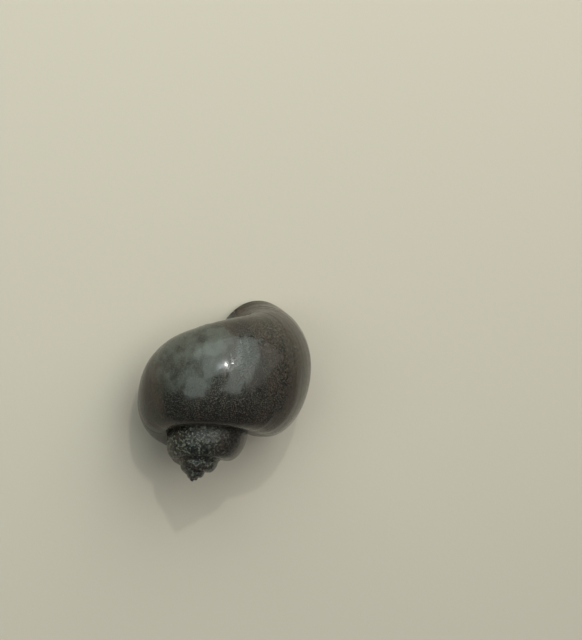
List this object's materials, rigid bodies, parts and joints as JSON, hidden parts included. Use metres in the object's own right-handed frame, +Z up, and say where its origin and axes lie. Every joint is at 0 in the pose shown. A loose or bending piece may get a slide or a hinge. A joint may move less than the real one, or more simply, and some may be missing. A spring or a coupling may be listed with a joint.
{
  "type": "apple snail",
  "caption": "Apple snail drawn back into its rounded, coiled shell, lying on its open side with the horny lid shut a little way inside.",
  "frame": {"origin": "on the floor, at the centre of the box round the snail", "axes": "+Z up from the floor; the shell's apex points along +X and up, its open side faces down and towards +Y, and its rounded back faces -Y"},
  "size_m": [0.0372, 0.0364, 0.0269],
  "materials": {
    "dark_shell": "wet blackish olive shell skin over growth lines",
    "worn_shell": "pitted and worn blackish shell skin",
    "lip_shell": "thin ochre and brown banded shell, glossy inside",
    "horn": "brown horn with concentric growth ridges",
    "flesh": "moist dark mottled skin"
  },
  "bodies": {
    "root": {"apex": "worn_shell", "spire_whorl": "worn_shell", "penultimate_whorl": "worn_shell", "body_whorl": "dark_shell", "outer_lip": "lip_shell", "inner_lip": "lip_shell", "operculum": "horn", "foot": "flesh"}
  },
  "joints": []
}
